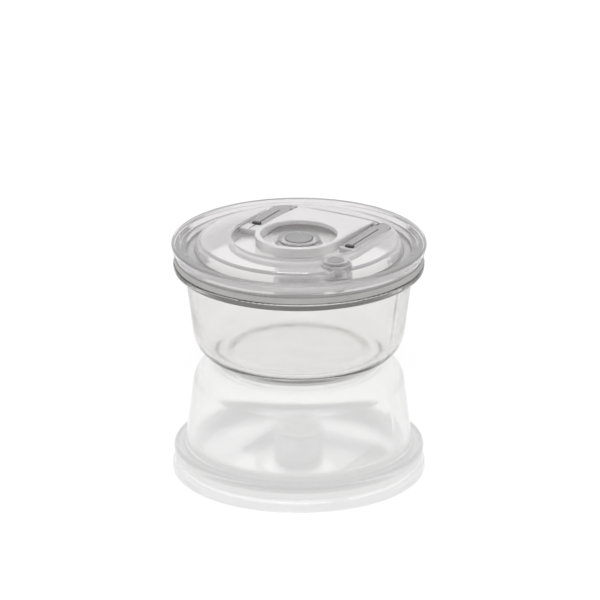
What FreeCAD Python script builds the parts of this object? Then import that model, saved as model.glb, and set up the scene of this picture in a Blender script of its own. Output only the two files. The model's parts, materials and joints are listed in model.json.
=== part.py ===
import FreeCAD
import Part
import Sketcher
import math
import os

# Round glass vacuum canister: a pressed glass bowl with a clear lid that carries a flip-up ring
# handle, two date sliders, a spring check valve in a filter cage and a press-to-release button.
# Millimetres, +Z up. The origin is the middle of the standing ring, on the surface below the bowl.
# The handle's hinge is towards +Y.

SIZES = {
    # Glass bowl
    "bowl_height": 58.9,
    "flange_root": 3.7,
    "wall_draft": 6.5,
    "base_rise": 4.6,
    "base_round": 17.5,
    "glass_wall": 3.8,
    "glass_floor": 5.6,
    "floor_round": 11.0,
    "mouth_gap": 1.25,
    "mouth_round": 1.0,
    "base_slope": 12.8,
    "foot_width": 5.5,
    "foot_height": 1.1,
    "foot_flare": 1.5,
    "recess_slope": 5.0,
    "recess_round": 8.0,
    "foot_round": 0.4,
    "bead_proud": 0.4,
    "bead_height": 4.5,
    "bead_round": 2.2,
    "bead_top_round": 0.8,
    "bead_root_round": 1.8,
    # Lid: rim, moat, dome and plug skirt
    "rim_height": 8.4,
    "rim_land": 4.5,
    "rim_round": 1.2,
    "rim_draft": 0.6,
    "rim_step": 0.45,
    "upper_step_drop": 4.2,
    "rim_foot_height": 1.4,
    "rim_undercut": 2.45,
    "ledge_drop": 2.7,
    "rim_slope": 3.05,
    "ledge_width": 1.0,
    "moat_clear": 0.4,
    "moat_width": 5.0,
    "moat_wall_lean": 0.3,
    "moat_round": 1.2,
    "dome_margin": 1.1,
    "dome_wall_lean": 1.8,
    "dome_edge_rise": 1.4,
    "dome_rise": 5.3,
    "dome_round": 4.0,
    "lid_wall": 2.4,
    "skirt_inset": 0.55,
    "skirt_wall": 2.2,
    "skirt_depth": 6.7,
    # Gasket between the glass flange and the rim: a tongue in the rim's groove and a leg in the mouth
    "gasket_proud": 0.7,
    "gasket_base": 3.8,
    "gasket_round": 0.7,
    "gasket_play": 0.1,
    "gasket_groove_wall": 1.4,
    "gasket_width": 4.5,
    "gasket_tongue": 1.2,
    "gasket_vee": 1.2,
    "gasket_rib": 1.5,
    "gasket_leg": 1.5,
    "gasket_leg_rise": 0.3,
    # Recess in the dome
    "pocket_depth": 6.7,
    "pocket_radius": 39.3,
    "pocket_margin": 2.4,
    "pocket_corner": 7.0,
    "pocket_lip_round": 0.9,
    "tub_wall": 2.2,
    # Ring handle and its hinge
    "leg_width": 13.4,
    "handle_ring_width": 3.4,
    "handle_floor_gap": 0.6,
    "handle_plate": 2.6,
    "handle_side_wall": 2.4,
    "handle_relief_front": 2.0,
    "handle_relief_end": 5.0,
    "handle_lip_round": 0.8,
    "nose_radius": 2.35,
    "nose_gap": 0.25,
    "nose_rear_gap": 0.35,
    "hinge_pin_radius": 0.9,
    "hinge_pin_length": 10.5,
    "pin_clearance": 0.05,
    "bore_spare": 0.5,
    "lug_radius": 1.6,
    "lug_width": 3.0,
    "lug_gap": 0.4,
    # Date tracks and their markers
    "track_front": -1.3,
    "track_thickness": 3.2,
    "track_gap": 0.3,
    "track_nose_round": 1.0,
    "track_handle_gap": 2.0,
    "track_slot_width": 1.0,
    "track_front_wall": 0.6,
    "track_rear_wall": 4.7,
    "track_lip": 1.0,
    "track_undercut": 1.0,
    "marker_width": 5.2,
    "marker_length": 2.6,
    "marker_height": 1.3,
    "marker_round": 0.4,
    "marker_gap": 0.2,
    "marker_left_place": 8.6,
    "marker_right_place": 1.2,
    # Valve ring, button and spring
    "valve_ring_overhang": 2.3,
    "valve_ring_height": 3.05,
    "valve_ring_round": 0.5,
    "valve_hole_gap": 0.2,
    "valve_shank_radius": 10.2,
    "valve_shank_depth": 7.7,
    "valve_shank_wall": 1.9,
    "valve_web": 1.7,
    "valve_web_rise": 0.7,
    "vent_radius": 1.1,
    "vent_circle": 5.0,
    "vent_count": 6,
    "valve_button_gap": 0.55,
    "valve_button_height": 1.6,
    "valve_button_round": 0.4,
    "valve_seal_inset": 0.35,
    "valve_seal_thickness": 1.0,
    "valve_stem_radius": 1.5,
    "valve_stem_clearance": 0.25,
    "valve_stem_tail": 0.6,
    "valve_clip_radius": 4.2,
    "valve_clip_thickness": 0.8,
    "valve_spring_radius": 3.0,
    "valve_spring_wire": 0.6,
    "valve_spring_length": 7.5,
    "valve_spring_turns": 5,
    # Filter cage under the lid
    "washer_thickness": 1.2,
    "washer_inset": 0.55,
    "washer_play": 0.2,
    "cage_shoulder": 4.55,
    "cage_depth": 19.6,
    "cage_wall": 1.75,
    "cage_top": 2.0,
    "cage_neck_clearance": 0.15,
    "cage_cap_height": 2.0,
    "cage_cap_ring_height": 2.2,
    "cage_cap_ring_wall": 1.3,
    "cage_cap_clearance": 0.1,
    "cage_round": 0.6,
    "filter_thickness": 0.7,
    "cap_hole_radius": 1.2,
    "cap_hole_circle": 7.0,
    "cap_hole_count": 8,
    # Release button in its cup
    "release_side_share": 0.8224,
    "release_front_share": -0.5694,
    "release_cup_wall": 1.55,
    "release_collar_wall": 1.25,
    "release_collar_rise": 3.0,
    "release_collar_round": 0.5,
    "release_cup_depth": 7.4,
    "release_cup_floor": 2.2,
    "release_button_radius": 7.8,
    "release_gap": 0.35,
    "release_proud": 1.4,
    "release_clear": 2.4,
    "release_skirt_wall": 1.6,
    "release_crown": 2.4,
    "release_round": 0.9,
    "release_pad_radius": 4.8,
    "release_pad_depth": 0.8,
    "release_pad_proud": 0.15,
    "release_pad_play": 0.1,
    "release_stem_radius": 1.7,
    "release_stem_bore": 2.2,
    "release_seal_radius": 4.6,
    "release_seal_foot_radius": 3.6,
    "release_seal_thickness": 1.8,
    "release_clip_radius": 3.4,
    "release_clip_thickness": 0.8,
    "release_stem_tail": 0.6,
    "release_spring_radius": 4.2,
    "release_spring_wire": 0.7,
    "release_spring_turns": 3,
    "spring_seat_gap": 0.05,
    # Extra length of every cutting tool past the face it cuts
    "overrun": 2.0,
}

H_AXIS_INDEX = -1
V_AXIS_INDEX = -2
START_INDEX = 1
END_INDEX = 2
CENTRE_INDEX = 3
FULL_TURN_DEGREES = 360
UP = FreeCAD.Vector(0, 0, 1)
MATCH_SHARE = 1e-5
EDGE_SAMPLE_COUNT = 5
QUARTER_COUNT = 4
GAP_POINT_COUNT = 12


class Size:
    """A length: its value now, and the formula that the sheet works it out by."""

    def __init__(self, value, formula):
        self.value = value
        self.formula = formula

    def __add__(self, other):
        return Size(self.value + other.value, f"({self.formula} + {other.formula})")

    def __sub__(self, other):
        return Size(self.value - other.value, f"({self.formula} - {other.formula})")

    def __mul__(self, other):
        return Size(self.value * other.value, f"({self.formula} * {other.formula})")

    def __truediv__(self, other):
        return Size(self.value / other.value, f"({self.formula} / {other.formula})")

    def __neg__(self):
        return Size(-self.value, f"(-1 * {self.formula})")

    def half(self):
        return Size(self.value / 2, f"({self.formula} / 2)")

    def root(self):
        return Size(math.sqrt(self.value), f"sqrt({self.formula})")


class SizeTable:
    """Every named size of the sheet, as an attribute."""

    def __init__(self, sheet, names):
        for name in names:
            setattr(self, name, Size(float(sheet.get(name)), f"{sheet.Name}.{name}"))


def make_sheet(document):
    sheet = document.addObject("Spreadsheet::Sheet", "Sizes")
    for row, (name, value) in enumerate(SIZES.items(), 1):
        sheet.set(f"A{row}", name)
        sheet.set(f"B{row}", str(value))
        sheet.setAlias(f"B{row}", name)
    document.recompute()
    return sheet


doc = FreeCAD.newDocument("vacuum_canister")
s = SizeTable(make_sheet(doc), SIZES)

# Radii, from the recess outwards: handle, release button, dome, moat, rim, gasket and bowl
handle_half_width = s.pocket_radius - s.leg_width
handle_hole_radius = handle_half_width - s.handle_ring_width
cup_bore = s.release_button_radius + s.release_gap
release_collar_radius = cup_bore + s.release_collar_wall
release_place = s.pocket_radius + s.release_cup_wall + cup_bore
release_x = release_place * s.release_side_share
release_y = release_place * s.release_front_share
dome_edge_radius = release_place + release_collar_radius + s.dome_margin
corner_place = dome_edge_radius - s.pocket_margin - s.pocket_corner
corner_side = s.pocket_radius - s.pocket_corner
pocket_end = s.pocket_corner + (corner_place * corner_place - corner_side * corner_side).root()
moat_inner_radius = dome_edge_radius + s.dome_wall_lean
moat_outer_radius = moat_inner_radius + s.moat_width
ledge_radius = moat_outer_radius + s.moat_wall_lean + s.ledge_width
rim_radius = ledge_radius + s.rim_slope + s.rim_land
rim_foot_radius = rim_radius - s.rim_undercut
groove_radius = rim_foot_radius - s.gasket_groove_wall
gasket_inner_radius = groove_radius - s.gasket_width
gasket_radius = rim_foot_radius + s.gasket_proud
skirt_radius = moat_inner_radius - s.skirt_inset
gasket_leg_inner = skirt_radius + s.gasket_play
gasket_leg_radius = gasket_leg_inner + s.gasket_leg
mouth_radius = gasket_leg_radius + s.mouth_gap
bead_radius = gasket_radius + s.bead_proud
bowl_top_radius = mouth_radius + s.flange_root
bowl_foot_radius = bowl_top_radius - s.wall_draft
foot_radius = bowl_foot_radius - s.base_slope
foot_inner = foot_radius - s.foot_width

# Radii of the valve, from the ring's shank
valve_ring_radius = s.valve_shank_radius + s.valve_ring_overhang
valve_hole_radius = s.valve_shank_radius + s.valve_hole_gap
valve_bore_radius = s.valve_shank_radius - s.valve_shank_wall
valve_button_radius = valve_bore_radius - s.valve_button_gap
valve_seal_radius = valve_button_radius - s.valve_seal_inset
cage_radius = s.valve_shank_radius + s.cage_shoulder
washer_radius = cage_radius - s.washer_inset

# Levels and places that several pieces share
bead_z = s.bowl_height - s.bead_height
flange_z = s.bowl_height + s.gasket_base
gasket_top = flange_z + s.gasket_tongue
rim_top = flange_z + s.rim_height
moat_under = flange_z + s.moat_clear
moat_z = moat_under + s.lid_wall
skirt_foot = s.bowl_height - s.skirt_depth
dome_edge_z = rim_top + s.dome_edge_rise
dome_top = rim_top + s.dome_rise
dome_sag = dome_top - dome_edge_z
dome_radius = (dome_edge_radius * dome_edge_radius + dome_sag * dome_sag) / (dome_sag + dome_sag)
pocket_z = dome_top - s.pocket_depth
pocket_under = pocket_z - s.tub_wall
hinge_y = pocket_end - s.nose_radius - s.nose_rear_gap
hinge_z = pocket_z + s.nose_radius + s.nose_gap
lug_inner = handle_half_width + s.lug_gap
notch_front = hinge_y - s.lug_radius - s.track_gap
track_slot_front = s.track_front + s.track_front_wall
track_slot_end = notch_front - s.track_rear_wall
track_top = pocket_z + s.track_thickness
web_top = pocket_z + s.valve_web_rise
web_under = web_top - s.valve_web
button_under = web_top + s.valve_seal_thickness
clip_top = web_under - s.valve_spring_length
clip_under = clip_top - s.valve_clip_thickness
washer_under = pocket_under - s.washer_thickness
cage_foot = washer_under - s.cage_depth
cap_seat = cage_foot + s.cage_cap_height
chamber_radius = cage_radius - s.cage_wall
cap_ring_radius = chamber_radius - s.cage_cap_clearance
collar_top = rim_top + s.release_collar_rise
cup_z = collar_top - s.release_cup_depth
cup_under = cup_z - s.release_cup_floor
release_top = collar_top + s.release_proud
release_skirt_foot = cup_z + s.release_clear
release_seat = release_top - s.release_crown
release_seal_foot = cup_under - s.release_seal_thickness


def new_body(label):
    body = doc.addObject("PartDesign::Body", label)
    body.Label = label
    return body


def origin_plane(body, role):
    return next(feature for feature in body.Origin.OriginFeatures if feature.Role == role)


def new_sketch(body, role, offset=None):
    """Sketch on one of the body's own origin planes, moved along the plane's normal by offset."""
    sketch = body.newObject("Sketcher::SketchObject", f"{body.Label}_{role[:2]}")
    sketch.AttachmentSupport = [(origin_plane(body, role), "")]
    sketch.MapMode = "FlatFace"
    if offset is not None:
        sketch.setExpression("AttachmentOffset.Base.z", offset.formula)
    return sketch


def number(size):
    return size.value if isinstance(size, Size) else 0.0


def pin_point(sketch, geometry, point, place):
    """Tie a sketch point to its two distances from the sketch's origin; 0 puts it on that axis."""
    for kind, axis, size in (("DistanceX", V_AXIS_INDEX, place[0]), ("DistanceY", H_AXIS_INDEX, place[1])):
        if isinstance(size, Size):
            rule = Sketcher.Constraint(kind, H_AXIS_INDEX, START_INDEX, geometry, point, size.value)
            index = sketch.addConstraint(rule)
            sketch.setExpression(f"Constraints[{index}]", size.formula)
        else:
            sketch.addConstraint(Sketcher.Constraint("PointOnObject", geometry, point, axis))


def arc_between(first, last, axis, clockwise):
    """Arc from first to last whose centre lies on the given axis of the sketch."""
    squares = last.Length ** 2 - first.Length ** 2
    if axis == V_AXIS_INDEX:
        centre = FreeCAD.Vector(0, squares / (2 * (last.y - first.y)), 0)
    else:
        centre = FreeCAD.Vector(squares / (2 * (last.x - first.x)), 0, 0)
    ends = (last, first) if clockwise else (first, last)
    angles = [math.atan2(end.y - centre.y, end.x - centre.x) for end in ends]
    if angles[1] <= angles[0]:
        angles[1] += 2 * math.pi
    circle = Part.Circle(centre, UP, (first - centre).Length)
    return Part.ArcOfCircle(circle, angles[0], angles[1])


def draw_outline(sketch, places, arcs=None):
    """Closed outline through the places. arcs gives, by the index of its first place, the axis that
    an arc's centre lies on and whether the arc runs clockwise; every other stretch is straight."""
    arcs = arcs or {}
    points = [FreeCAD.Vector(number(u), number(v), 0) for u, v in places]
    count = len(places)
    ends = []
    for index, first in enumerate(points):
        last = points[(index + 1) % count]
        if index in arcs:
            axis, clockwise = arcs[index]
            geometry = sketch.addGeometry(arc_between(first, last, axis, clockwise))
            head, tail = (END_INDEX, START_INDEX) if clockwise else (START_INDEX, END_INDEX)
            ends.append((geometry, head, tail))
        else:
            geometry = sketch.addGeometry(Part.LineSegment(first, last))
            ends.append((geometry, START_INDEX, END_INDEX))
    for index in range(count):
        geometry, _, tail = ends[index]
        following, head, _ = ends[(index + 1) % count]
        sketch.addConstraint(Sketcher.Constraint("Coincident", geometry, tail, following, head))
    for index, place in enumerate(places):
        geometry, head, _ = ends[index]
        pin_point(sketch, geometry, head, place)
    for index, (axis, _) in arcs.items():
        sketch.addConstraint(Sketcher.Constraint("PointOnObject", ends[index][0], CENTRE_INDEX, axis))


def draw_circle(sketch, place, radius):
    centre = FreeCAD.Vector(number(place[0]), number(place[1]), 0)
    geometry = sketch.addGeometry(Part.Circle(centre, UP, radius.value))
    pin_point(sketch, geometry, CENTRE_INDEX, place)
    index = sketch.addConstraint(Sketcher.Constraint("Radius", geometry, radius.value))
    sketch.setExpression(f"Constraints[{index}]", radius.formula)


def turned(label, places, arcs=None):
    """Body of revolution about Z from a closed outline of (radius, height) places."""
    body = new_body(label)
    sketch = new_sketch(body, "XZ_Plane")
    draw_outline(sketch, places, arcs)
    turn = body.newObject("PartDesign::Revolution", f"{label}_turned")
    turn.Profile = sketch
    turn.ReferenceAxis = (sketch, ["V_Axis"])
    turn.Angle = FULL_TURN_DEGREES
    return body


def padded(label, role, offset, length, places, arcs=None, hole=None):
    """Body padded from an outline along the plane's normal, from offset on, with a round hole."""
    body = new_body(label)
    sketch = new_sketch(body, role, offset)
    draw_outline(sketch, places, arcs)
    if hole is not None:
        draw_circle(sketch, (0, 0), hole)
    pad = body.newObject("PartDesign::Pad", f"{label}_padded")
    pad.Profile = sketch
    pad.setExpression("Length", length.formula)
    return body


def fillet_edges(body, radius, wanted):
    """Round the edges of the body's tip that wanted picks."""
    doc.recompute()
    base = body.Tip
    names = [f"Edge{index}" for index, edge in enumerate(base.Shape.Edges, 1) if wanted(edge)]
    if not names:
        raise RuntimeError(f"no edge to round on {body.Label}")
    fillet = body.newObject("PartDesign::Fillet", f"{body.Label}_round")
    fillet.Base = (base, names)
    fillet.setExpression("Radius", radius.formula)
    doc.recompute()


def near(value, size):
    return abs(value - size.value) < MATCH_SHARE * rim_radius.value


def fillet_rings(body, radius, *rings):
    """Round the circular edges about Z that lie at the given (radius, height) places."""

    def wanted(edge):
        if edge.Degenerated or edge.Curve.TypeId != "Part::GeomCircle":
            return False
        circle = edge.Curve
        return any(near(circle.Radius, r) and near(circle.Center.z, z) for r, z in rings)

    fillet_edges(body, radius, wanted)


def drill_ring(body, hole_radius, circle_radius, count, top, depth):
    """A ring of equal round holes about Z, cut downwards from the level top."""
    sketch = new_sketch(body, "XY_Plane", top)
    draw_circle(sketch, (circle_radius, 0), hole_radius)
    doc.recompute()
    before = body.Shape.Volume
    hole = body.newObject("PartDesign::Pocket", f"{body.Label}_hole")
    hole.Profile = sketch
    hole.setExpression("Length", depth.formula)
    pattern = body.newObject("PartDesign::PolarPattern", f"{body.Label}_holes")
    pattern.Originals = [hole]
    pattern.Axis = (sketch, ["N_Axis"])
    pattern.Angle = FULL_TURN_DEGREES
    pattern.setExpression("Occurrences", count.formula)
    body.Tip = pattern
    doc.recompute()
    if body.Shape.Volume >= before:
        raise RuntimeError(f"the holes of {body.Label} cut nothing")


def place_by(shape_object, x=None, y=None, z=None):
    for axis, size in (("x", x), ("y", y), ("z", z)):
        if size is not None:
            shape_object.setExpression(f"Placement.Base.{axis}", size.formula)


def at_release(body):
    place_by(body, release_x, release_y)
    return body


def cylinder(label, radius, low, high, x=None, y=None):
    rod = doc.addObject("Part::Cylinder", label)
    rod.setExpression("Radius", radius.formula)
    rod.setExpression("Height", (high - low).formula)
    place_by(rod, x, y, low)
    return rod


def rod_along_x(label, radius, left, right, y, z):
    rod = doc.addObject("Part::Cylinder", label)
    rod.Placement.Rotation = FreeCAD.Rotation(FreeCAD.Vector(0, 1, 0), FULL_TURN_DEGREES / 4)
    rod.setExpression("Radius", radius.formula)
    rod.setExpression("Height", (right - left).formula)
    place_by(rod, left, y, z)
    return rod


def joined(label, *pieces):
    union = doc.addObject("Part::MultiFuse", label)
    union.Shapes = list(pieces)
    return union


def cut(label, base, tool):
    difference = doc.addObject("Part::Cut", label)
    difference.Base = base
    difference.Tool = tool
    return difference


def common(label, base, tool):
    overlap = doc.addObject("Part::Common", label)
    overlap.Base = base
    overlap.Tool = tool
    return overlap


def finished(label, base):
    """Body that takes a boolean's result, so that edge rounds can follow it."""
    doc.recompute()
    body = new_body(label)
    body.BaseFeature = base
    doc.recompute()
    return body


def on_dome(edge):
    """Whether an edge lies on the dome's sphere."""
    if edge.Degenerated:
        return False
    centre = FreeCAD.Vector(0, 0, dome_top.value - dome_radius.value)
    points = edge.discretize(EDGE_SAMPLE_COUNT)
    return all(near((point - centre).Length, dome_radius) for point in points)


def make_bowl():
    wall_foot = bowl_foot_radius - s.glass_wall
    foot_edge = foot_radius + s.foot_flare
    recess_edge = foot_inner - s.recess_slope
    bowl = turned("glass_bowl", [
        (0, s.foot_height),
        (recess_edge, s.foot_height),
        (foot_inner, 0),
        (foot_radius, 0),
        (foot_edge, s.foot_height),
        (bowl_foot_radius, s.base_rise),
        (bowl_top_radius, bead_z),
        (bead_radius, bead_z),
        (bead_radius, s.bowl_height),
        (mouth_radius, s.bowl_height),
        (wall_foot, s.glass_floor),
        (0, s.glass_floor),
    ])
    ground = Size(0.0, "0")
    fillet_rings(bowl, s.base_round, (bowl_foot_radius, s.base_rise))
    fillet_rings(bowl, s.floor_round, (wall_foot, s.glass_floor))
    fillet_rings(bowl, s.bead_round, (bead_radius, bead_z))
    fillet_rings(bowl, s.bead_top_round, (bead_radius, s.bowl_height))
    fillet_rings(bowl, s.bead_root_round, (bowl_top_radius, bead_z))
    fillet_rings(bowl, s.mouth_round, (mouth_radius, s.bowl_height))
    fillet_rings(bowl, s.recess_round, (recess_edge, s.foot_height))
    fillet_rings(bowl, s.foot_round, (foot_radius, ground), (foot_inner, ground))
    return bowl


def recess_outline(grow):
    """U outline of the recess, grown outwards by a wall: straight legs and a half-round front."""
    side = s.pocket_radius + grow if grow else s.pocket_radius
    end = pocket_end + grow if grow else pocket_end
    places = [(side, 0), (side, end), (-side, end), (-side, 0)]
    return places, {3: (H_AXIS_INDEX, False)}


def make_lid():
    land_inner = rim_radius - s.rim_land
    rib_inner = gasket_inner_radius - s.gasket_rib
    ledge_z = rim_top - s.ledge_drop
    ledge_inner = ledge_radius - s.ledge_width
    upper_step = rim_top - s.upper_step_drop
    lower_step = flange_z + s.rim_foot_height
    upper_radius = rim_radius - s.rim_draft
    blank = turned("lid_blank", [
        (0, dome_top),
        (dome_edge_radius, dome_edge_z),
        (moat_inner_radius, moat_z),
        (moat_outer_radius, moat_z),
        (ledge_inner, ledge_z),
        (ledge_radius, ledge_z),
        (land_inner, rim_top),
        (rim_radius, rim_top),
        (upper_radius, upper_step),
        (upper_radius - s.rim_step, upper_step),
        (rim_foot_radius + s.rim_step, lower_step),
        (rim_foot_radius, lower_step),
        (rim_foot_radius, flange_z),
        (groove_radius, flange_z),
        (groove_radius, gasket_top),
        (gasket_inner_radius, gasket_top),
        (gasket_inner_radius, flange_z),
        (rib_inner, flange_z),
        (rib_inner, moat_under),
        (skirt_radius, moat_under),
        (skirt_radius, skirt_foot),
        (0, skirt_foot),
    ], {0: (V_AXIS_INDEX, True)})
    fillet_rings(blank, s.dome_round, (dome_edge_radius, dome_edge_z))
    fillet_rings(blank, s.moat_round, (moat_inner_radius, moat_z))
    fillet_rings(blank, s.rim_round, (rim_radius, rim_top))

    skirt_inner = skirt_radius - s.skirt_wall
    hollow_floor = skirt_foot - s.overrun
    hollow_top = dome_top - s.lid_wall
    hollow = turned("lid_hollow", [
        (0, hollow_floor),
        (skirt_inner, hollow_floor),
        (skirt_inner, moat_under),
        (moat_inner_radius - s.lid_wall, moat_z),
        (dome_edge_radius - s.lid_wall, dome_edge_z - s.lid_wall),
        (0, hollow_top),
    ], {4: (V_AXIS_INDEX, False)})
    tub_places, tub_arcs = recess_outline(s.tub_wall)
    tub = padded("lid_tub", "XY_Plane", pocket_under, dome_top - pocket_under, tub_places, tub_arcs)
    fillet_edges(tub, s.pocket_corner + s.tub_wall, rear_corner(tub))
    cup = cylinder("lid_cup", release_collar_radius, cup_under, dome_top, release_x, release_y)
    collar = at_release(turned("lid_collar", [
        (0, cup_z),
        (release_collar_radius, cup_z),
        (release_collar_radius, collar_top),
        (0, collar_top),
    ]))
    fillet_rings(collar, s.release_collar_round, (release_collar_radius, collar_top))
    kept = joined("lid_kept", tub, cup)
    shell = joined("lid_with_collar", cut("lid_hollowed", blank, cut("lid_cavity", hollow, kept)), collar)

    above = dome_top + s.overrun
    below = cup_under - s.overrun
    recess_places, recess_arcs = recess_outline(None)
    recess = padded("lid_recess", "XY_Plane", pocket_z, above - pocket_z, recess_places, recess_arcs)
    fillet_edges(recess, s.pocket_corner, rear_corner(recess))
    bore = cylinder("lid_cup_bore", cup_bore, cup_z, above, release_x, release_y)
    stem_bore = cylinder("lid_stem_bore", s.release_stem_bore, below, above, release_x, release_y)
    valve_hole = cylinder("lid_valve_hole", valve_hole_radius, below, above)
    opened = cut("lid_opened", shell, joined("lid_cuts", recess, bore, stem_bore, valve_hole))
    lid = finished("lid_shell", joined("lid_with_lugs", opened, make_lugs()))

    def recess_mouth(edge):
        if not on_dome(edge):
            return False
        x, y, _ = edge.valueAt((edge.FirstParameter + edge.LastParameter) / 2)
        from_button = math.hypot(x - release_x.value, y - release_y.value)
        if from_button < release_collar_radius.value * (1 + MATCH_SHARE):
            return False
        return math.hypot(x, y) < dome_edge_radius.value - s.dome_round.value / 2

    fillet_edges(lid, s.pocket_lip_round, recess_mouth)
    return lid


def rear_corner(body):
    """Picks the two upright edges at the rear corners of a padded recess outline."""
    doc.recompute()
    box = body.Shape.BoundBox

    def wanted(edge):
        low, high = (vertex.Point for vertex in (edge.Vertexes[0], edge.Vertexes[-1]))
        upright = abs(low.x - high.x) + abs(low.y - high.y) < MATCH_SHARE * box.XLength
        return upright and abs(low.y - box.YMax) < MATCH_SHARE * box.YLength

    return wanted


def make_lugs():
    """Two rounded lugs on the recess floor, beside the handle, that hold the hinge pins."""
    lug_outer = lug_inner + s.lug_width
    sunk = pocket_z - s.tub_wall.half()
    lugs = []
    for side, start in (("left", -lug_outer), ("right", lug_inner)):
        lug = padded(f"lug_{side}", "YZ_Plane", start, s.lug_width, [
            (hinge_y - s.lug_radius, sunk),
            (hinge_y + s.lug_radius, sunk),
            (hinge_y + s.lug_radius, hinge_z),
            (hinge_y - s.lug_radius, hinge_z),
        ])
        head = rod_along_x(f"lug_head_{side}", s.lug_radius, start, start + s.lug_width, hinge_y, hinge_z)
        bore = rod_along_x(f"lug_bore_{side}", s.hinge_pin_radius, start - s.overrun,
                           start + s.lug_width + s.overrun, hinge_y, hinge_z)
        lugs.append(cut(f"lug_bored_{side}", joined(f"lug_whole_{side}", lug, head), bore))
    return joined("lid_lugs", *lugs)


def make_gasket():
    """Soft ring on the glass flange: a tongue above, a V between its lips below, a leg in the mouth."""
    leg_foot = skirt_foot + s.gasket_leg_rise
    middle = gasket_inner_radius + s.gasket_width.half()
    gasket = turned("rim_gasket", [
        (gasket_leg_inner, leg_foot),
        (gasket_leg_radius, leg_foot),
        (gasket_leg_radius, s.bowl_height),
        (gasket_inner_radius, s.bowl_height),
        (middle, s.bowl_height + s.gasket_vee),
        (groove_radius, s.bowl_height),
        (gasket_radius, s.bowl_height),
        (gasket_radius, flange_z),
        (groove_radius, flange_z),
        (groove_radius, gasket_top),
        (gasket_inner_radius, gasket_top),
        (gasket_inner_radius, flange_z),
        (gasket_leg_inner, flange_z),
    ])
    fillet_rings(gasket, s.gasket_round, (gasket_radius, s.bowl_height), (gasket_radius, flange_z),
                 (gasket_leg_radius, leg_foot))
    return gasket


def make_handle():
    half = handle_half_width
    foot = pocket_z + s.handle_floor_gap
    above = dome_top + s.overrun
    plan = padded("handle_plan", "XY_Plane", foot, above - foot, [
        (half, 0), (half, hinge_y), (-half, hinge_y), (-half, 0),
    ], {3: (H_AXIS_INDEX, False)}, hole=handle_hole_radius)
    ball = doc.addObject("Part::Sphere", "dome_ball")
    ball.setExpression("Radius", dome_radius.formula)
    place_by(ball, z=dome_top - dome_radius)
    inner = half - s.handle_side_wall
    relief_end = hinge_y - s.handle_relief_end
    relief_foot = foot - s.overrun
    hole_edge_z = dome_top - handle_hole_radius * handle_hole_radius / (dome_radius + dome_radius)
    relief_top = hole_edge_z - s.handle_plate
    relief = padded("handle_relief", "XY_Plane", relief_foot, relief_top - relief_foot, [
        (inner, s.handle_relief_front),
        (inner, relief_end),
        (-inner, relief_end),
        (-inner, s.handle_relief_front),
    ])
    nose = rod_along_x("handle_nose", s.nose_radius, -half, half, hinge_y, hinge_z)
    domed = common("handle_domed", joined("handle_whole", plan, nose), ball)
    rounded = finished("handle_rounded", cut("handle_relieved", domed, relief))
    bore_radius = s.hinge_pin_radius + s.pin_clearance
    bore_depth = s.hinge_pin_length - s.lug_width - s.lug_gap + s.bore_spare
    bores = joined(
        "handle_bores",
        rod_along_x("handle_bore_left", bore_radius, -half - s.overrun, -half + bore_depth, hinge_y, hinge_z),
        rod_along_x("handle_bore_right", bore_radius, half - bore_depth, half + s.overrun, hinge_y, hinge_z))

    def top_edge(edge):
        middle = edge.valueAt((edge.FirstParameter + edge.LastParameter) / 2)
        return on_dome(edge) and middle.y < hinge_y.value * (1 - MATCH_SHARE)

    fillet_edges(rounded, s.handle_lip_round, top_edge)
    return cut("handle", rounded, bores)


def make_hinge_pins():
    outer = lug_inner + s.lug_width
    inner = outer - s.hinge_pin_length
    left = rod_along_x("hinge_pin_left", s.hinge_pin_radius, -outer, -inner, hinge_y, hinge_z)
    right = rod_along_x("hinge_pin_right", s.hinge_pin_radius, inner, outer, hinge_y, hinge_z)
    pins = doc.addObject("Part::Compound", "hinge_pins")
    pins.Links = [left, right]
    return pins


def track_middle():
    inner = handle_half_width + s.track_handle_gap
    outer = s.pocket_radius - s.track_gap
    return inner, outer, (inner + outer).half()


def make_track(side, sign):
    """Grey strip in one leg of the recess, notched round the hinge lug, with a T slot along it."""
    inner, outer, middle = track_middle()
    notch_side = lug_inner + s.lug_width + s.track_gap
    rear = pocket_end - s.track_gap
    half_slot = s.track_slot_width.half()
    half_under = half_slot + s.track_undercut

    def mirrored(places):
        return places if sign > 0 else [(-x, y) for x, y in places]

    strip = padded(f"track_strip_{side}", "XY_Plane", pocket_z, s.track_thickness, mirrored([
        (inner, s.track_front),
        (outer, s.track_front),
        (outer, rear),
        (notch_side, rear),
        (notch_side, notch_front),
        (inner, notch_front),
    ]))

    def outer_corner(edge):
        points = [vertex.Point for vertex in edge.Vertexes]
        return all(near(abs(point.x), outer) and near(point.y, rear) for point in points)

    def front_edge(edge):
        points = [vertex.Point for vertex in edge.Vertexes]
        return all(near(point.y, s.track_front) and near(point.z, track_top) for point in points)

    fillet_edges(strip, s.pocket_corner, outer_corner)
    fillet_edges(strip, s.track_nose_round, front_edge)
    slot_low = pocket_z - s.overrun
    slot_height = s.track_thickness + s.overrun + s.overrun
    slot = padded(f"track_slot_{side}", "XY_Plane", slot_low, slot_height, mirrored([
        (middle - half_slot, track_slot_front),
        (middle + half_slot, track_slot_front),
        (middle + half_slot, track_slot_end),
        (middle - half_slot, track_slot_end),
    ]))
    under_height = s.track_thickness - s.track_lip + s.overrun
    under = padded(f"track_under_{side}", "XY_Plane", slot_low, under_height, mirrored([
        (middle - half_under, track_slot_front),
        (middle + half_under, track_slot_front),
        (middle + half_under, track_slot_end),
        (middle - half_under, track_slot_end),
    ]))
    return cut(f"date_track_{side}", strip, joined(f"track_cuts_{side}", slot, under))


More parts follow.
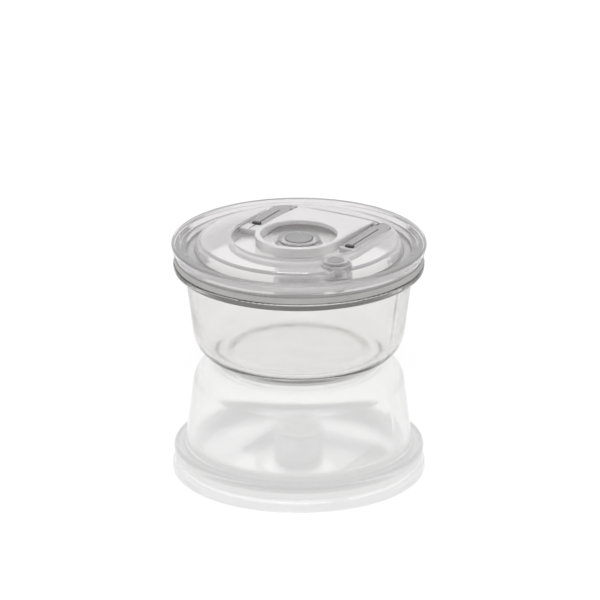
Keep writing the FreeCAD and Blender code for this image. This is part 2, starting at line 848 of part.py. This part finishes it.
def make_marker(side, sign, place):
    """Small slider: a rounded head on the strip, a neck in its slot and a foot in the undercut."""
    _, _, middle = track_middle()
    centre = middle if sign > 0 else -middle
    half_length = s.marker_length.half()
    half_slot = s.track_slot_width.half() - s.marker_gap
    half_foot = half_slot + s.track_undercut
    half_head = s.marker_width.half()
    foot_z = pocket_z + s.marker_gap
    foot_top = track_top - s.track_lip - s.marker_gap

    def block(name, half_width, low, high):
        return padded(f"marker_{name}_{side}", "XY_Plane", low, high - low, [
            (centre - half_width, place - half_length),
            (centre + half_width, place - half_length),
            (centre + half_width, place + half_length),
            (centre - half_width, place + half_length),
        ])

    head = block("head", half_head, track_top, track_top + s.marker_height)
    crown = track_top + s.marker_height
    fillet_edges(head, s.marker_round, lambda edge: any(
        near(vertex.Point.z, crown) for vertex in edge.Vertexes))
    neck = block("neck", half_slot, foot_z, track_top)
    foot = block("foot", half_foot, foot_z, foot_top)
    return joined(f"date_marker_{side}", head, neck, foot)


def make_valve_ring():
    """Clear collar with a shank through the lid and a vented web that guides the valve's stem."""
    ring_top = pocket_z + s.valve_ring_height
    shank_foot = pocket_z - s.valve_shank_depth
    guide = s.valve_stem_radius + s.valve_stem_clearance
    ring = turned("valve_ring", [
        (guide, web_under),
        (valve_bore_radius, web_under),
        (valve_bore_radius, shank_foot),
        (s.valve_shank_radius, shank_foot),
        (s.valve_shank_radius, pocket_z),
        (valve_ring_radius, pocket_z),
        (valve_ring_radius, ring_top),
        (valve_bore_radius, ring_top),
        (valve_bore_radius, web_top),
        (guide, web_top),
    ])
    fillet_rings(ring, s.valve_ring_round, (valve_ring_radius, ring_top), (valve_bore_radius, ring_top))
    drill_ring(ring, s.vent_radius, s.vent_circle, s.vent_count, web_top, s.valve_web + s.overrun)
    return ring


def make_valve_button():
    top = button_under + s.valve_button_height
    button = turned("valve_button", [
        (0, clip_under - s.valve_stem_tail),
        (s.valve_stem_radius, clip_under - s.valve_stem_tail),
        (s.valve_stem_radius, button_under),
        (valve_button_radius, button_under),
        (valve_button_radius, top),
        (0, top),
    ])
    fillet_rings(button, s.valve_button_round, (valve_button_radius, top))
    return button


def washer(label, inner, outer, low, high):
    return turned(label, [(inner, low), (outer, low), (outer, high), (inner, high)])


def make_valve_washer():
    inner = s.valve_shank_radius + s.washer_play
    return washer("valve_washer", inner, washer_radius, washer_under, pocket_under)


def make_cage():
    """Cylindrical filter cage on the ring's shank, open at the foot."""
    neck = s.valve_shank_radius + s.cage_neck_clearance
    cage = turned("valve_cage", [
        (neck, washer_under),
        (neck, washer_under - s.cage_top),
        (chamber_radius, washer_under - s.cage_top),
        (chamber_radius, cap_seat),
        (cage_radius, cap_seat),
        (cage_radius, washer_under),
    ])
    fillet_rings(cage, s.cage_round, (cage_radius, washer_under))
    return cage


def make_cage_cap():
    """Perforated bottom of the cage, with a ring that pushes into it and holds the filter."""
    ring_inner = cap_ring_radius - s.cage_cap_ring_wall
    cap = turned("cage_cap", [
        (0, cage_foot),
        (cage_radius, cage_foot),
        (cage_radius, cap_seat),
        (cap_ring_radius, cap_seat),
        (cap_ring_radius, cap_seat + s.cage_cap_ring_height),
        (ring_inner, cap_seat + s.cage_cap_ring_height),
        (ring_inner, cap_seat),
        (0, cap_seat),
    ])
    fillet_rings(cap, s.cage_round, (cage_radius, cage_foot))
    drill_ring(cap, s.cap_hole_radius, s.cap_hole_circle, s.cap_hole_count, cap_seat,
               s.cage_cap_height + s.overrun)
    return cap


def make_filter():
    radius = cap_ring_radius - s.cage_cap_ring_wall - s.cage_cap_clearance
    return turned("cage_filter", [
        (0, cap_seat),
        (radius, cap_seat),
        (radius, cap_seat + s.filter_thickness),
        (0, cap_seat + s.filter_thickness),
    ])


def make_release_button():
    """Clear button: a hollow skirt round the spring, a stem through the cup and a dish on top."""
    pad_floor = release_top - s.release_pad_depth
    pad_wall = s.release_pad_radius + s.release_pad_play
    skirt_inner = s.release_button_radius - s.release_skirt_wall
    stem_foot = release_seal_foot - s.release_clip_thickness - s.release_stem_tail
    button = turned("release_button", [
        (0, pad_floor),
        (pad_wall, pad_floor),
        (pad_wall, release_top),
        (s.release_button_radius, release_top),
        (s.release_button_radius, release_skirt_foot),
        (skirt_inner, release_skirt_foot),
        (skirt_inner, release_seat),
        (s.release_stem_radius, release_seat),
        (s.release_stem_radius, stem_foot),
        (0, stem_foot),
    ])
    fillet_rings(button, s.release_round, (s.release_button_radius, release_top))
    return at_release(button)


def make_release_pad():
    low = release_top - s.release_pad_depth
    high = release_top + s.release_pad_proud
    pad = turned("release_pad", [
        (0, low),
        (s.release_pad_radius, low),
        (s.release_pad_radius, high),
        (0, high),
    ])
    fillet_rings(pad, s.release_pad_proud, (s.release_pad_radius, high))
    return at_release(pad)


def make_release_seal():
    return at_release(turned("release_seal", [
        (s.release_stem_radius, release_seal_foot),
        (s.release_seal_foot_radius, release_seal_foot),
        (s.release_seal_radius, cup_under),
        (s.release_stem_radius, cup_under),
    ]))


def make_release_clip():
    low = release_seal_foot - s.release_clip_thickness
    clip = washer("release_clip", s.release_stem_radius, s.release_clip_radius, low, release_seal_foot)
    return at_release(clip)


def arc_edge(start, corner, end):
    """Arc from start to end whose end tangents meet at corner."""
    middle = (start + end) / 2
    half_chord = (end - start).Length / 2
    rise = corner - middle
    sagitta = half_chord * math.tan(math.atan2(rise.Length, half_chord) / 2)
    return Part.Arc(start, middle + rise.normalize() * sagitta, end).toShape()


def biarc(start, start_way, end, end_way):
    """Two arcs that meet smoothly, from one point and direction to another."""
    span = end - start
    ways = start_way + end_way
    spread = 2 * (1 - start_way.dot(end_way))
    reach = (math.sqrt(span.dot(ways) ** 2 + spread * span.dot(span)) - span.dot(ways)) / spread
    start_corner = start + start_way * reach
    end_corner = end - end_way * reach
    meeting = (start_corner + end_corner) / 2
    return [arc_edge(start, start_corner, meeting), arc_edge(meeting, end_corner, end)]


def make_spring(label, mean_radius, wire, turns, low, high, x=0.0, y=0.0):
    """Coil spring as one round wire between two seats, wound in quarter turns."""
    quarters = round(turns * QUARTER_COUNT)
    seat_gap = s.spring_seat_gap.value
    foot = low + seat_gap + wire / 2
    climb = (high - low - wire - 2 * seat_gap) / (turns * 2 * math.pi)

    def point(angle):
        out = FreeCAD.Vector(math.cos(angle), math.sin(angle), 0) * mean_radius
        return out + UP * (foot + climb * angle)

    def way(angle):
        round_axis = FreeCAD.Vector(-math.sin(angle), math.cos(angle), 0) * mean_radius
        return (round_axis + UP * climb).normalize()

    angles = [index * math.pi / 2 for index in range(quarters + 1)]
    edges = []
    for first, last in zip(angles, angles[1:]):
        edges += biarc(point(first), way(first), point(last), way(last))
    path = Part.Wire(edges)
    section = Part.Wire(Part.Circle(point(0), way(0), wire / 2).toShape())
    tube = path.makePipeShell([section], True, False)
    gap = least_gap(path.discretize(quarters * GAP_POINT_COUNT), mean_radius) - wire
    fill = tube.Volume / (math.pi * wire ** 2 / 4 * path.Length)
    print(f"{label}: least gap to itself {gap:.3f} mm, volume over section times length {fill:.4f}")
    spring = doc.addObject("Part::Feature", label)
    spring.Shape = tube
    spring.Placement.Base = FreeCAD.Vector(x, y, 0)
    return spring


def least_gap(points, mean_radius):
    """Least distance between points of the wire that lie half a turn or more apart along it."""
    step = (points[1] - points[0]).Length
    apart = math.ceil(math.pi * mean_radius / step)
    return min((points[a] - points[b]).Length
               for a in range(len(points)) for b in range(a + apart, len(points)))


def make_parts():
    parts = [
        make_bowl(),
        make_lid(),
        make_gasket(),
        make_handle(),
        make_hinge_pins(),
        make_track("left", -1),
        make_track("right", 1),
        make_marker("left", -1, s.marker_left_place),
        make_marker("right", 1, s.marker_right_place),
        make_valve_ring(),
        make_valve_button(),
        washer("valve_seal", s.valve_stem_radius, valve_seal_radius, web_top, button_under),
        washer("valve_clip", s.valve_stem_radius, s.valve_clip_radius, clip_under, clip_top),
        make_valve_washer(),
        make_cage(),
        make_cage_cap(),
        make_filter(),
        make_release_button(),
        make_release_pad(),
        make_release_seal(),
        make_release_clip(),
        make_spring("valve_spring", s.valve_spring_radius.value, s.valve_spring_wire.value,
                    s.valve_spring_turns.value, clip_top.value, web_under.value),
        make_spring("release_spring", s.release_spring_radius.value, s.release_spring_wire.value,
                    s.release_spring_turns.value, cup_z.value, release_seat.value,
                    release_x.value, release_y.value),
    ]
    doc.recompute()
    return parts


def check(parts):
    for item in doc.Objects:
        if "Invalid" in item.State or "Error" in item.State:
            raise RuntimeError(f"{item.Label} failed: {item.State}")
    for part in parts:
        if part.Shape.isNull() or not part.Shape.isValid() or not part.Shape.Solids:
            raise RuntimeError(f"{part.Label} has no valid solid")


def write(parts):
    os.makedirs("parts", exist_ok=True)
    for part in parts:
        part.Shape.exportStep(f"parts/{part.Label}.step")
        box = part.Shape.BoundBox
        print(f"{part.Label}: {len(part.Shape.Solids)} solid, volume {part.Shape.Volume:.0f},"
              f" z {box.ZMin:.2f} to {box.ZMax:.2f}")


canister = make_parts()
check(canister)
write(canister)
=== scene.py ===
import json
import math

import bpy
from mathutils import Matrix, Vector


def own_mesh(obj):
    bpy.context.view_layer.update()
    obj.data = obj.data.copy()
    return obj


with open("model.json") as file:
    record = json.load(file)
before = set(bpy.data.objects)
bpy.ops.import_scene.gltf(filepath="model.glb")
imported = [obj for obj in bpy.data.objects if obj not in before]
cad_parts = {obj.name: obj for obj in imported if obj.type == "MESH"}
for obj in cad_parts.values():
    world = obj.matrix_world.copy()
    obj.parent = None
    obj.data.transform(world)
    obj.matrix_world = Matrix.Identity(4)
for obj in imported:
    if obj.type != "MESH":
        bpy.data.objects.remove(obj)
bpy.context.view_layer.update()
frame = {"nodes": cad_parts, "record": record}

scene = bpy.context.scene
nodes = frame["nodes"]

# Camera: a long lens at the photograph's angle. Angles in degrees, lengths in metres, the sensor in mm.
CAMERA_AZIMUTH = 29.5
CAMERA_ELEVATION = 20.9
CAMERA_DISTANCE = 4.0
CAMERA_CLIP_END = 100
FRAME_WIDTH = 0.3531
SENSOR = 36.0
AIM_HEIGHT = 0.0339
AIM_SIDE = 0.00064

# Surface detail. Noise scales are per metre, relief heights in metres.
WAVE_DETAIL = 1.5
GRAIN_DETAIL = 3
CLOUD_DETAIL = 4
WAVE_STRENGTH = 0.3
GRAIN_STRENGTH = 0.35
CLOUD_SCALE = 60
GLOSS_PER_CLOUD = 3
POLISH_PER_WAVE = 2
COAT_ROUGHNESS = 0.03
SATIN_GLOSS = (0.5, 0.62)
SATIN_SPECULAR = 0.3
MOULDED_GRAIN_SCALE = 2500
MOULDED_GRAIN_HEIGHT = 0.00004

# Date strips: painted pale at the front, a painted light over the shade on their front ends, and
# printed grey from a ragged edge to the rear
# Painted light: this pale colour covers the shade that falls on the strips' front ends
STRIP_FRONT_PAINTED_LIGHT = (0.66, 0.65, 0.655)
STRIP_PRINTED = (0.38, 0.372, 0.377)
STRIP_LEFT_PRINT_FROM = 0.0072
STRIP_RIGHT_PRINT_FROM = 0.0
STRIP_EDGE_WIDTH = 0.0006
STRIP_EDGE_SCALE = 900

# Pieces whose finish differs from the others in their material slot
SPECIAL_FINISHES = {
    "handle": "milky_plastic",
    "date_track_left": "strip_left",
    "date_track_right": "strip_right",
}

# Stage: floor and key lamp
FLOOR_SIZE = 8.0
FLOOR_WHITE = 0.85
FLOOR_MIRROR_SHARE = 0.45
FLOOR_MIRROR_ROUGHNESS = 0.03
FLOOR_GLOW = 0.85
FLOOR_SHADOW = 0.22
KEY_PLACE = Vector((-0.35, 0.5, 1.4))
KEY_AIM = Vector((0, 0, 0.05))
KEY_SIZE = 0.3
KEY_WATTS = 3


def make_camera():
    azimuth = math.radians(CAMERA_AZIMUTH)
    elevation = math.radians(CAMERA_ELEVATION)
    back = Vector((math.sin(azimuth) * math.cos(elevation),
                   -math.cos(azimuth) * math.cos(elevation),
                   math.sin(elevation)))
    side = Vector((math.cos(azimuth), math.sin(azimuth), 0))
    camera_data = bpy.data.cameras.new("camera")
    camera_data.sensor_width = SENSOR
    camera_data.lens = SENSOR * CAMERA_DISTANCE / FRAME_WIDTH
    camera_data.clip_end = CAMERA_CLIP_END
    camera = bpy.data.objects.new("camera", camera_data)
    camera.location = Vector((0, 0, AIM_HEIGHT)) + side * AIM_SIDE + back * CAMERA_DISTANCE
    camera.rotation_mode = "QUATERNION"
    camera.rotation_quaternion = (-back).to_track_quat("-Z", "Y")
    scene.collection.objects.link(camera)
    scene.camera = camera


class Tree:
    """A node tree that is built by short calls."""

    def __init__(self, tree):
        self.tree = tree
        tree.nodes.clear()

    def add(self, kind, **settings):
        node = self.tree.nodes.new(kind)
        for name, value in settings.items():
            setattr(node, name, value)
        return node

    def link(self, source, target):
        self.tree.links.new(source, target)

    def noise(self, vector, scale, detail):
        node = self.add("ShaderNodeTexNoise")
        node.inputs["Scale"].default_value = scale
        node.inputs["Detail"].default_value = detail
        node.inputs["Roughness"].default_value = 0.5
        self.link(vector, node.inputs["Vector"])
        return node.outputs["Fac"]

    def spread(self, value, low, high, start=0.3, end=0.7):
        """Maps start and end, by default the middle range of a noise, to low and high."""
        node = self.add("ShaderNodeMapRange")
        node.inputs["From Min"].default_value = start
        node.inputs["From Max"].default_value = end
        node.inputs["To Min"].default_value = low
        node.inputs["To Max"].default_value = high
        self.link(value, node.inputs["Value"])
        return node.outputs["Result"]

    def blend(self, value, first, second):
        """Goes from the first colour to the second as the value goes from 0 to 1."""
        node = self.add("ShaderNodeMix", data_type="RGBA")
        sockets = {socket.identifier: socket for socket in node.inputs}
        sockets["A_Color"].default_value = (*first, 1)
        sockets["B_Color"].default_value = (*second, 1)
        self.link(value, sockets["Factor_Float"])
        return next(socket for socket in node.outputs if socket.type == "RGBA")

    def bump(self, height, strength, distance):
        node = self.add("ShaderNodeBump")
        node.inputs["Strength"].default_value = strength
        node.inputs["Distance"].default_value = distance
        self.link(height, node.inputs["Height"])
        return node.outputs["Normal"]

    def shader(self, kind, grey, **values):
        node = self.add(kind)
        node.inputs["Color"].default_value = (grey, grey, grey, 1)
        for name, value in values.items():
            node.inputs[name].default_value = value
        return node.outputs[0]

    def mix(self, share, first, second):
        """Mixes two shaders. The share is a number or a socket."""
        node = self.add("ShaderNodeMixShader")
        if isinstance(share, (int, float)):
            node.inputs["Fac"].default_value = share
        else:
            self.link(share, node.inputs["Fac"])
        self.link(first, node.inputs[1])
        self.link(second, node.inputs[2])
        return node.outputs[0]


class Finish:
    """A procedural material: one Principled shader, with noise in the object's own space."""

    def __init__(self, name, constants):
        self.material = bpy.data.materials.new(name)
        self.material.use_nodes = True
        self.tree = Tree(self.material.node_tree)
        self.output = self.tree.add("ShaderNodeOutputMaterial")
        principled = self.tree.add("ShaderNodeBsdfPrincipled")
        self.tree.link(principled.outputs["BSDF"], self.output.inputs["Surface"])
        self.sockets = principled.inputs
        self.where = self.tree.add("ShaderNodeTexCoord").outputs["Object"]
        for name, value in constants.items():
            self.sockets[name].default_value = value

    def noise(self, scale, detail):
        return self.tree.noise(self.where, scale, detail)

    def color(self, value, first, second):
        self.tree.link(self.tree.blend(value, first, second), self.sockets["Base Color"])

    def gloss(self, scale, detail, roughness):
        uneven = self.tree.spread(self.noise(scale, detail), *roughness)
        self.tree.link(uneven, self.sockets["Roughness"])

    def relief(self, scale, detail, strength, height):
        normal = self.tree.bump(self.noise(scale, detail), strength, height)
        self.tree.link(normal, self.sockets["Normal"])

    def depth(self, color, density):
        absorption = self.tree.add("ShaderNodeVolumeAbsorption")
        absorption.inputs["Color"].default_value = (*color, 1)
        absorption.inputs["Density"].default_value = density
        self.tree.link(absorption.outputs["Volume"], self.output.inputs["Volume"])


def clear_material(name, color, clear_share, ior, polish, wave_scale, wave_height,
                   depth_color, depth_density, coat=0):
    """Clear glass or plastic with a faint waviness, slightly uneven polish and a tint in its depth."""
    constants = {"Base Color": (*color, 1), "Transmission Weight": clear_share, "IOR": ior}
    if coat:
        constants.update({"Coat Weight": coat, "Coat Roughness": COAT_ROUGHNESS})
    finish = Finish(name, constants)
    finish.gloss(wave_scale * POLISH_PER_WAVE, CLOUD_DETAIL, polish)
    finish.relief(wave_scale, WAVE_DETAIL, WAVE_STRENGTH, wave_height)
    finish.depth(depth_color, depth_density)
    return finish.material


def solid_material(name, dark, light, gloss, grain_scale=MOULDED_GRAIN_SCALE,
                   grain_height=MOULDED_GRAIN_HEIGHT, cloud_scale=CLOUD_SCALE, constants=None):
    """Opaque piece: slight clouds in its colour, uneven gloss and a fine grain."""
    finish = Finish(name, constants or {})
    clouds = finish.noise(cloud_scale, CLOUD_DETAIL)
    finish.color(finish.tree.spread(clouds, 0, 1), dark, light)
    finish.gloss(cloud_scale * GLOSS_PER_CLOUD, GRAIN_DETAIL, gloss)
    finish.relief(grain_scale, GRAIN_DETAIL, GRAIN_STRENGTH, grain_height)
    return finish.material


def strip_material(name, print_from):
    """Date strip: painted pale at the front, a painted light that hides the shade on its front end, and
    printed grey from print_from (metres along Y) to the rear.
    """
    finish = Finish(name, {"Specular IOR Level": SATIN_SPECULAR})
    tree = finish.tree
    place = tree.add("ShaderNodeSeparateXYZ")
    tree.link(finish.where, place.inputs[0])
    ragged = tree.add("ShaderNodeMath", operation="MULTIPLY_ADD")
    tree.link(finish.noise(STRIP_EDGE_SCALE, CLOUD_DETAIL), ragged.inputs[0])
    ragged.inputs[1].default_value = STRIP_EDGE_WIDTH
    tree.link(place.outputs["Y"], ragged.inputs[2])
    printed = tree.spread(ragged.outputs[0], 0, 1, print_from, print_from + STRIP_EDGE_WIDTH)
    # The pale front is painted light over the front end's shade. The grey print to the rear is the
    # strip's own colour.
    finish.color(printed, STRIP_FRONT_PAINTED_LIGHT, STRIP_PRINTED)
    finish.gloss(CLOUD_SCALE * GLOSS_PER_CLOUD, GRAIN_DETAIL, SATIN_GLOSS)
    finish.relief(MOULDED_GRAIN_SCALE, GRAIN_DETAIL, GRAIN_STRENGTH, MOULDED_GRAIN_HEIGHT)
    return finish.material


def make_materials():
    plastic = dict(color=(0.985, 0.966, 0.972), ior=1.49, wave_scale=90, wave_height=0.0002,
                   depth_color=(0.6, 0.57, 0.58), coat=0.5)
    return {
        "glass": clear_material(
            "pressed_glass", color=(0.975, 0.973, 0.968), clear_share=1, ior=1.5, polish=(0.1, 0.14),
            wave_scale=45, wave_height=0.0006, depth_color=(0.6, 0.587, 0.557), depth_density=36),
        "clear_plastic": clear_material(
            "clear_plastic", clear_share=0.77, polish=(0.05, 0.08), depth_density=25, **plastic),
        "milky_plastic": clear_material(
            "milky_plastic", clear_share=0.5, polish=(0.08, 0.12), depth_density=15, **plastic),
        "grey_silicone": solid_material(
            "grey_silicone", dark=(0.4, 0.396, 0.388), light=(0.46, 0.455, 0.447), gloss=(0.5, 0.68),
            grain_scale=1500, grain_height=0.00005),
        "grey_plastic": solid_material(
            "grey_plastic", dark=(0.31, 0.303, 0.307), light=(0.36, 0.353, 0.357), gloss=SATIN_GLOSS,
            constants={"Specular IOR Level": SATIN_SPECULAR}),
        "black_plastic": solid_material(
            "black_plastic", dark=(0.045, 0.044, 0.045), light=(0.06, 0.058, 0.06), gloss=(0.3, 0.42)),
        "steel": solid_material(
            "spring_steel", dark=(0.5, 0.5, 0.51), light=(0.62, 0.62, 0.63), gloss=(0.2, 0.34),
            grain_scale=4000, grain_height=0.00002, constants={"Metallic": 1}),
        "filter_felt": solid_material(
            "filter_felt", dark=(0.68, 0.68, 0.65), light=(0.82, 0.82, 0.8), gloss=(0.85, 0.95),
            grain_scale=3500, grain_height=0.0003, cloud_scale=900, constants={"Sheen Weight": 0.3}),
        "strip_left": strip_material("strip_left", STRIP_LEFT_PRINT_FROM),
        "strip_right": strip_material("strip_right", STRIP_RIGHT_PRINT_FROM),
    }


def dress_nodes(materials):
    for part in frame["record"]["subparts"]:
        piece = nodes[part["node"]]
        piece.data.materials.clear()
        finish = SPECIAL_FINISHES.get(part["node"], part["material_slot"])
        piece.data.materials.append(materials[finish])


def squeeze_springs():
    """Gives each spring that a joint deforms its own copy of its mesh."""
    for joint in frame["record"]["behaviour"]["joints"]:
        for spring in joint.get("deforming_nodes", []):
            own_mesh(nodes[spring["node"]])


def make_floor_material():
    """White with a soft shadow and a faint mirror image. Through glass it is plain white, and to the
    light that bounces about it is matt, so that its glow doesn't light the object."""
    material = bpy.data.materials.new("floor_white")
    material.use_nodes = True
    tree = Tree(material.node_tree)
    output = tree.add("ShaderNodeOutputMaterial")
    path = tree.add("ShaderNodeLightPath").outputs
    lit = tree.add("ShaderNodeAddShader")
    tree.link(tree.shader("ShaderNodeEmission", 1, Strength=FLOOR_GLOW), lit.inputs[0])
    tree.link(tree.shader("ShaderNodeBsdfDiffuse", FLOOR_SHADOW), lit.inputs[1])
    mirror = tree.shader("ShaderNodeBsdfGlossy", 1, Roughness=FLOOR_MIRROR_ROUGHNESS)
    shown = tree.mix(FLOOR_MIRROR_SHARE, lit.outputs[0], mirror)
    matt = tree.shader("ShaderNodeBsdfDiffuse", FLOOR_WHITE)
    seen = tree.add("ShaderNodeMath", operation="MAXIMUM")
    tree.link(path["Is Camera Ray"], seen.inputs[0])
    tree.link(path["Is Glossy Ray"], seen.inputs[1])
    white = tree.shader("ShaderNodeEmission", 1, Strength=1)
    surface = tree.mix(path["Is Transmission Ray"], tree.mix(seen.outputs[0], matt, shown), white)
    tree.link(surface, output.inputs["Surface"])
    return material


def make_floor():
    half = FLOOR_SIZE / 2
    corners = [(-half, -half, 0), (half, -half, 0), (half, half, 0), (-half, half, 0)]
    mesh = bpy.data.meshes.new("floor")
    mesh.from_pydata(corners, [], [(0, 1, 2, 3)])
    mesh.materials.append(make_floor_material())
    floor = bpy.data.objects.new("floor", mesh)
    scene.collection.objects.link(floor)


def make_world():
    """Even white all round, so that every view has the same background."""
    world = bpy.data.worlds.new("studio")
    scene.world = world
    world.use_nodes = True
    tree = Tree(world.node_tree)
    output = tree.add("ShaderNodeOutputWorld")
    tree.link(tree.shader("ShaderNodeBackground", 1, Strength=1), output.inputs["Surface"])


def make_key_lamp():
    """One small soft lamp, which the camera doesn't see."""
    lamp_data = bpy.data.lights.new("key", "AREA")
    lamp_data.shape = "RECTANGLE"
    lamp_data.size = KEY_SIZE
    lamp_data.size_y = KEY_SIZE
    lamp_data.energy = KEY_WATTS
    lamp = bpy.data.objects.new("key", lamp_data)
    lamp.visible_camera = False
    lamp.location = KEY_PLACE
    lamp.rotation_mode = "QUATERNION"
    lamp.rotation_quaternion = (KEY_AIM - KEY_PLACE).to_track_quat("-Z", "Y")
    scene.collection.objects.link(lamp)


make_camera()
dress_nodes(make_materials())
squeeze_springs()
make_floor()
make_world()
make_key_lamp()
scene.view_settings.view_transform = "Standard"
